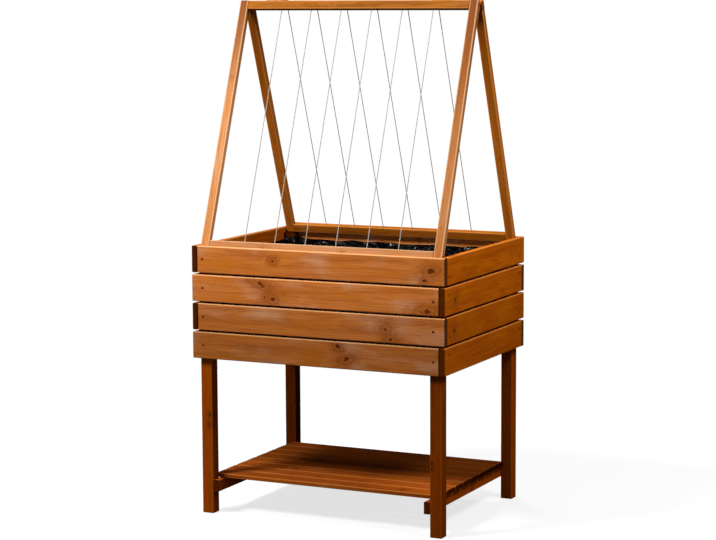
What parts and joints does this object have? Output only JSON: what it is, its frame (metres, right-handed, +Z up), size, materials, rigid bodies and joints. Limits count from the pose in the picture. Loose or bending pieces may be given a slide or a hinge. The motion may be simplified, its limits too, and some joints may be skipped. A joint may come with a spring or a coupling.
{
  "type": "raised planter with trellis",
  "caption": "Raised rectangular wooden planter on corner posts, with a film liner, a slatted shelf below and a folding strung trellis standing on the posts.",
  "frame": {"origin": "on the ground under the middle of the box", "axes": "+Z up, X along the box, the front faces -Y"},
  "size_m": [0.8, 0.6, 1.5],
  "materials": {
    "board_wood": "oiled, low sheen",
    "post_wood": "oiled, low sheen",
    "shelf_wood": "oiled, low sheen",
    "floor_wood": "sawn",
    "trellis_wood": "oiled, low sheen",
    "liner_film": "wrinkled film, soft sheen",
    "twisted_cord": "twisted fibre",
    "steel_fittings": "yellow passivated, dulled"
  },
  "bodies": {
    "planter": {"front_left_post": "post_wood", "front_right_post": "post_wood", "back_left_post": "post_wood", "back_right_post": "post_wood", "front_board_1": "board_wood", "front_board_2": "board_wood", "front_board_3": "board_wood", "front_board_4": "board_wood", "right_board_1": "board_wood", "right_board_2": "board_wood", "right_board_3": "board_wood", "right_board_4": "board_wood", "back_board_1": "board_wood", "back_board_2": "board_wood", "back_board_3": "board_wood", "back_board_4": "board_wood", "left_board_1": "board_wood", "left_board_2": "board_wood", "left_board_3": "board_wood", "left_board_4": "board_wood", "front_floor_ledger": "floor_wood", "back_floor_ledger": "floor_wood", "floor_board_1": "floor_wood", "floor_board_2": "floor_wood", "floor_board_3": "floor_wood", "floor_board_4": "floor_wood", "floor_board_5": "floor_wood", "floor_board_6": "floor_wood", "liner": "liner_film", "left_shelf_rail": "post_wood", "right_shelf_rail": "post_wood", "shelf_slat_1": "shelf_wood", "shelf_slat_2": "shelf_wood", "shelf_slat_3": "shelf_wood", "shelf_slat_4": "shelf_wood", "shelf_slat_5": "shelf_wood", "shelf_slat_6": "shelf_wood", "shelf_slat_7": "shelf_wood", "shelf_slat_8": "shelf_wood"},
    "trellis_front": {"front_frame_top_rail": "trellis_wood", "front_frame_bottom_rail": "trellis_wood", "front_frame_left_stile": "trellis_wood", "front_frame_right_stile": "trellis_wood", "front_frame_cord": "twisted_cord", "left_hinge_front_frame_leaf": "steel_fittings", "left_hinge_pin": "steel_fittings", "right_hinge_front_frame_leaf": "steel_fittings", "right_hinge_pin": "steel_fittings"},
    "trellis_rear": {"rear_frame_top_rail": "trellis_wood", "rear_frame_bottom_rail": "trellis_wood", "rear_frame_left_stile": "trellis_wood", "rear_frame_right_stile": "trellis_wood", "rear_frame_cord": "twisted_cord", "left_hinge_rear_frame_leaf": "steel_fittings", "right_hinge_rear_frame_leaf": "steel_fittings"}
  },
  "joints": [
    {"name": "trellis_lift", "type": "slide", "parent": "planter", "child": "trellis_front", "axis": [0, 0, 1], "range_m": [0, 0.19]},
    {"name": "trellis_fold", "type": "hinge", "parent": "trellis_front", "child": "trellis_rear", "pos_m": [0, 0, 1.49597], "axis": [-1, 0, 0], "range_deg": [0, 40]}
  ],
  "couplings": [
    {"joint": "trellis_fold", "follows": "trellis_lift", "rad_per_m": 3.67}
  ]
}
